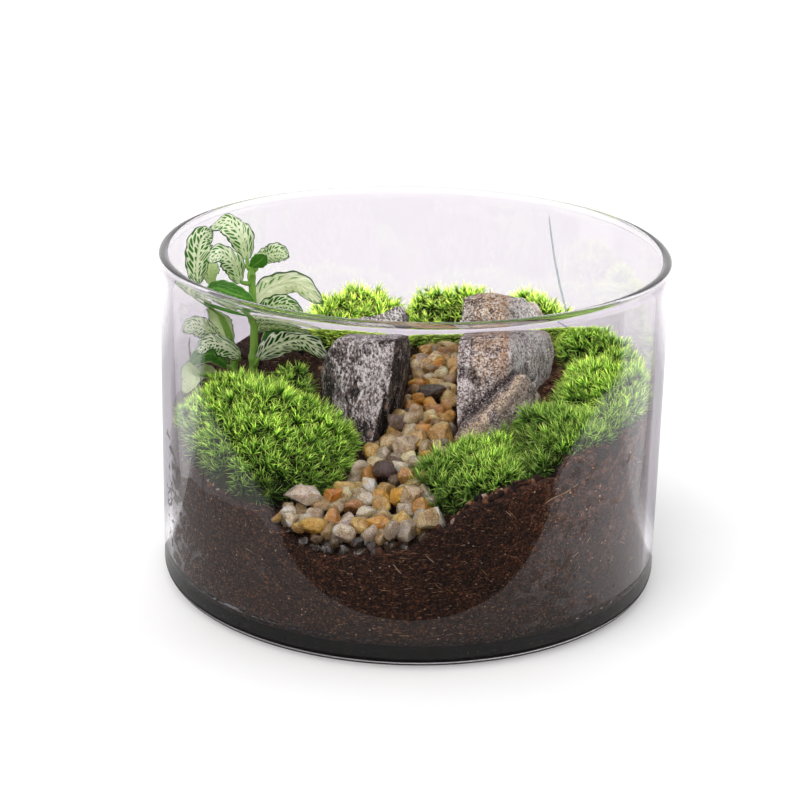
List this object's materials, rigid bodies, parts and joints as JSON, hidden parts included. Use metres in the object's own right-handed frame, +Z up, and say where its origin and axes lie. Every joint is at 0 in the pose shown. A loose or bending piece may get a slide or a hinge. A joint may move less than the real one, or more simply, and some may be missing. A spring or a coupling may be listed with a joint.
{
  "type": "glass plant terrarium",
  "caption": "Open straight-sided glass bowl planted with cushion moss, two standing stones, a gravel path and a variegated nerve plant.",
  "frame": {"origin": "Centre of the underside of the glass bowl, on the surface it stands on.", "axes": "+Z up, along the bowl's axis. -Y is the front, where the gravel path opens towards the viewer. +X is to the viewer's right."},
  "size_m": [0.15, 0.15, 0.1036],
  "materials": {
    "clear_glass": "clear colourless glass, fire-polished rim, very smooth",
    "potting_soil": "moist dark brown peat soil with fine fibres and pale specks, fully matte",
    "dark_stone": "rough dark slate-grey rock with pale speckles, slightly glossy mineral faces",
    "brown_stone": "rough grey-brown layered rock with rusty and bluish streaks",
    "green_moss": "living cushion moss of fine upright needles, bright green, soft matte with a light sheen",
    "pale_quartz": "tumbled translucent white and beige quartz, semi-gloss",
    "amber_quartz": "tumbled translucent honey, amber and rusty quartz, semi-gloss",
    "dark_pebble": "rough dark brown pebble, matte",
    "green_stem": "fresh juicy green plant stem, finely hairy satin",
    "variegated_leaf": "thin green leaf with a net of creamy white veins and a dark green rim, satin"
  },
  "bodies": {
    "root": {"glass_bowl": "clear_glass", "gravel_bed": "pale_quartz", "leaf_arch_centre": "variegated_leaf", "leaf_back_grey": "variegated_leaf", "leaf_hang_pale": "variegated_leaf", "leaf_left_low": "variegated_leaf", "leaf_left_pale": "variegated_leaf", "leaf_low_dark": "variegated_leaf", "leaf_low_small": "variegated_leaf", "leaf_mid_dark": "variegated_leaf", "leaf_node_front": "variegated_leaf", "leaf_rear_left": "variegated_leaf", "leaf_rear_right": "variegated_leaf", "leaf_right_back": "variegated_leaf", "leaf_right_big": "variegated_leaf", "leaf_right_low": "variegated_leaf", "leaf_right_mid": "variegated_leaf", "leaf_small_right": "variegated_leaf", "leaf_tall_left": "variegated_leaf", "leaf_top": "variegated_leaf", "moss_back_left": "green_moss", "moss_back_middle": "green_moss", "moss_back_right": "green_moss", "moss_front_left": "green_moss", "moss_front_middle": "green_moss", "moss_front_right": "green_moss", "moss_right": "green_moss", "moss_right_back": "green_moss", "moss_tuft_left": "green_moss", "pebble_amber_tall": "amber_quartz", "pebble_beige_front": "pale_quartz", "pebble_beige_large": "pale_quartz", "pebble_brown_round": "dark_pebble", "pebble_clear_long": "pale_quartz", "pebble_dark_flat": "dark_pebble", "pebble_gold": "amber_quartz", "pebble_grey_pink": "pale_quartz", "pebble_honey_large": "amber_quartz", "pebble_honey_small": "amber_quartz", "pebble_milky_yellow": "amber_quartz", "pebble_olive_yellow": "amber_quartz", "pebble_orange": "amber_quartz", "pebble_orange_mid": "amber_quartz", "pebble_pale_mid": "pale_quartz", "pebble_pale_tooth": "pale_quartz", "pebble_pink_back": "pale_quartz", "pebble_rust": "amber_quartz", "pebble_tan_back": "amber_quartz", "pebble_white_large": "pale_quartz", "pebble_white_round": "pale_quartz", "pebble_white_small": "pale_quartz", "pebble_yellow": "amber_quartz", "plant_stem_left": "green_stem", "plant_stem_low": "green_stem", "plant_stem_main": "green_stem", "soil": "potting_soil", "stone_brown": "brown_stone", "stone_dark": "dark_stone", "stone_flake": "brown_stone"}
  },
  "joints": []
}
